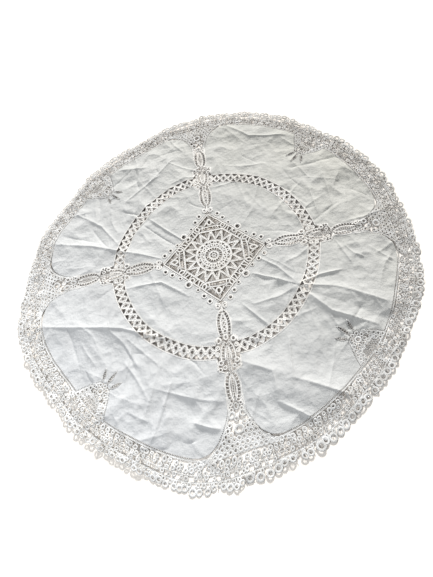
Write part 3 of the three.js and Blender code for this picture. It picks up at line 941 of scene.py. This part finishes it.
def inner_panel(k):
    """From the diamond to the ring band, with the worked eyelets cut out."""
    columns = 181
    rows = 70
    s = np.linspace(0, 1, columns)[None, :]
    t = np.linspace(0, 1, rows)[:, None]
    start = np.array([COTTON_EDGE * math.sqrt(2) - 0.03, 0.03])
    end = start[::-1]
    near = start[None, :] * (1 - s.T) + end[None, :] * s.T
    outside = 0.938
    first = edge_angle(outside, 0.09)
    far_angle = first + (math.pi / 2 - 2 * first) * s
    angle = np.arctan2(near[:, 1], near[:, 0])[None, :] * (1 - t) + far_angle * t
    r = np.hypot(near[:, 0], near[:, 1])[None, :] * (1 - t) + outside * t
    wanted = edge_angle(r[:, :1], np.interp(r[:, :1], *SPOKE_PROFILE.T))
    fade = np.clip(1 - s / 0.15, 0, 1) - np.clip(1 - (1 - s) / 0.15, 0, 1)
    angle = angle + fade * (wanted - angle[:, :1])
    angle = angle + math.radians(90 * k)
    verts = np.stack([r * np.cos(angle), r * np.sin(angle)], 2).reshape(-1, 2)
    faces = grid_faces(rows, columns)[:, ::-1]
    turn = Lace(90 * k).turn
    middles = verts[faces].mean(1)
    for apothem, along, outer, hole in EYELETS:
        apart = np.linalg.norm(middles - on_side(apothem, along) @ turn, axis=1)
        keep = apart > (outer + hole) / 2
        faces = faces[keep]
        middles = middles[keep]
    verts, faces = compact(verts, faces)
    name = f"inner_cotton_{k + 1}"
    return panel(name, verts, faces, f"inner_panel_{k + 1}")


def outer_panel(k):
    """From the ring band to the border, slit by the corner motif, with its side leaves cut out."""
    half = 125
    rows = 120
    r = np.linspace(1.055, 1.783, rows)[:, None]
    spoke = edge_angle(r, np.interp(r, *SPOKE_PROFILE.T))
    cut = edge_angle(r, np.interp(r, *MOTIF_PROFILE.T, left=0))
    s = np.linspace(0, 1, half)[None, :]
    left = spoke + (math.pi / 4 - cut - spoke) * s
    right = math.pi / 2 - left[:, ::-1]
    angle = np.concatenate([left, right], 1) + math.radians(90 * k)
    verts = np.stack([r * np.cos(angle), r * np.sin(angle)], 2).reshape(-1, 2)
    columns = 2 * half
    whole = grid_faces(rows, columns).reshape(rows - 1, columns - 1, 4)
    keep = np.ones((rows - 1, columns - 1), bool)
    keep[:, half - 1] = False
    faces = whole[keep]
    turn = Lace(90 * k + 45).turn
    middles = verts[faces].mean(1) @ turn.T
    for tip, foot, half_width in SIDE_LEAVES:
        apart, along = to_line(middles[:, 0], middles[:, 1], tip, foot)
        outside = apart > half_width * np.sin(math.pi * along)
        faces = faces[outside]
        middles = middles[outside]
    joined = np.arange(rows * columns).reshape(rows, columns)
    whole_rows = (cut[:, 0] < 1e-6).sum()
    joined[:whole_rows, half] = joined[:whole_rows, half - 1]
    faces = joined.ravel()[faces]
    verts, faces = compact(verts, faces)
    faces = faces[:, ::-1]
    name = f"outer_cotton_{k + 1}"
    return panel(name, verts, faces, f"outer_panel_{k + 1}")


# ---------- floor, light and camera ----------
def plain_floor():
    mesh = bpy.data.meshes.new("floor")
    mesh.from_pydata([(-6, -6, 0), (6, -6, 0), (6, 6, 0), (-6, 6, 0)], [], [(0, 1, 2, 3)])
    material, _, shader = new_material("floor")
    shader.inputs["Base Color"].default_value = (0.87, 0.825, 0.77, 1)
    shader.inputs["Roughness"].default_value = 0.9
    mesh.materials.append(material)
    obj = bpy.data.objects.new("floor", mesh)
    bpy.context.collection.objects.link(obj)
    return obj


def area_light(name, place, size, power, colour):
    light = bpy.data.lights.new(name, "AREA")
    light.shape = "DISK"
    light.size = size
    light.energy = power
    light.color = colour
    obj = bpy.data.objects.new(name, light)
    obj.location = place
    obj.rotation_mode = "QUATERNION"
    obj.rotation_quaternion = (-Vector(place)).to_track_quat("-Z", "Y")
    bpy.context.collection.objects.link(obj)


def set_camera():
    """Looks down at 62 degrees from the front, turned about its own axis by 20 degrees."""
    yaw = math.radians(-10.44)
    down = math.radians(61.58)
    roll = math.radians(-19.98)
    flat = Vector((math.sin(yaw), math.cos(yaw), 0))
    ahead = flat * math.cos(down) - Vector((0, 0, math.sin(down)))
    level = Vector((math.cos(yaw), -math.sin(yaw), 0))
    rise = level.cross(ahead)
    right = level * math.cos(roll) + rise * math.sin(roll)
    up = rise * math.cos(roll) - level * math.sin(roll)
    data = bpy.data.cameras.new("camera")
    data.sensor_width = 36
    data.lens = 24.15
    obj = bpy.data.objects.new("camera", data)
    turned = Matrix((right, up, -ahead)).transposed().to_4x4()
    obj.matrix_world = Matrix.Translation((0.0663, -0.4708, 0.7314)) @ turned
    bpy.context.collection.objects.link(obj)
    bpy.context.scene.camera = obj


floor = plain_floor()
rosette()
star()
medallion_frame()
for quarter in range(4):
    corner_eyelet(quarter)
    edging(quarter)
    inner_leaf(quarter)
    crossing(quarter)
    outer_leaf(quarter)
    fan(quarter)
    motif(quarter)
    ring_band(quarter)
    lobe_seam(quarter)
    inner_panel(quarter)
    outer_panel(quarter)
for eighth in range(8):
    border(eighth)
    loops(eighth)

area_light("key", (2.0, 6.6, 3.1), 1.0, 1130, (1.0, 0.985, 0.96))
area_light("fill", (-1.3, -1.3, 1.7), 1.6, 34, (0.97, 0.985, 1.0))
world = bpy.data.worlds.new("room")
world.use_nodes = True
world.node_tree.nodes["Background"].inputs["Color"].default_value = (0.93, 0.96, 1.0, 1)
world.node_tree.nodes["Background"].inputs["Strength"].default_value = 0.31
bpy.context.scene.world = world
bpy.context.scene.view_settings.view_transform = "Standard"
set_camera()
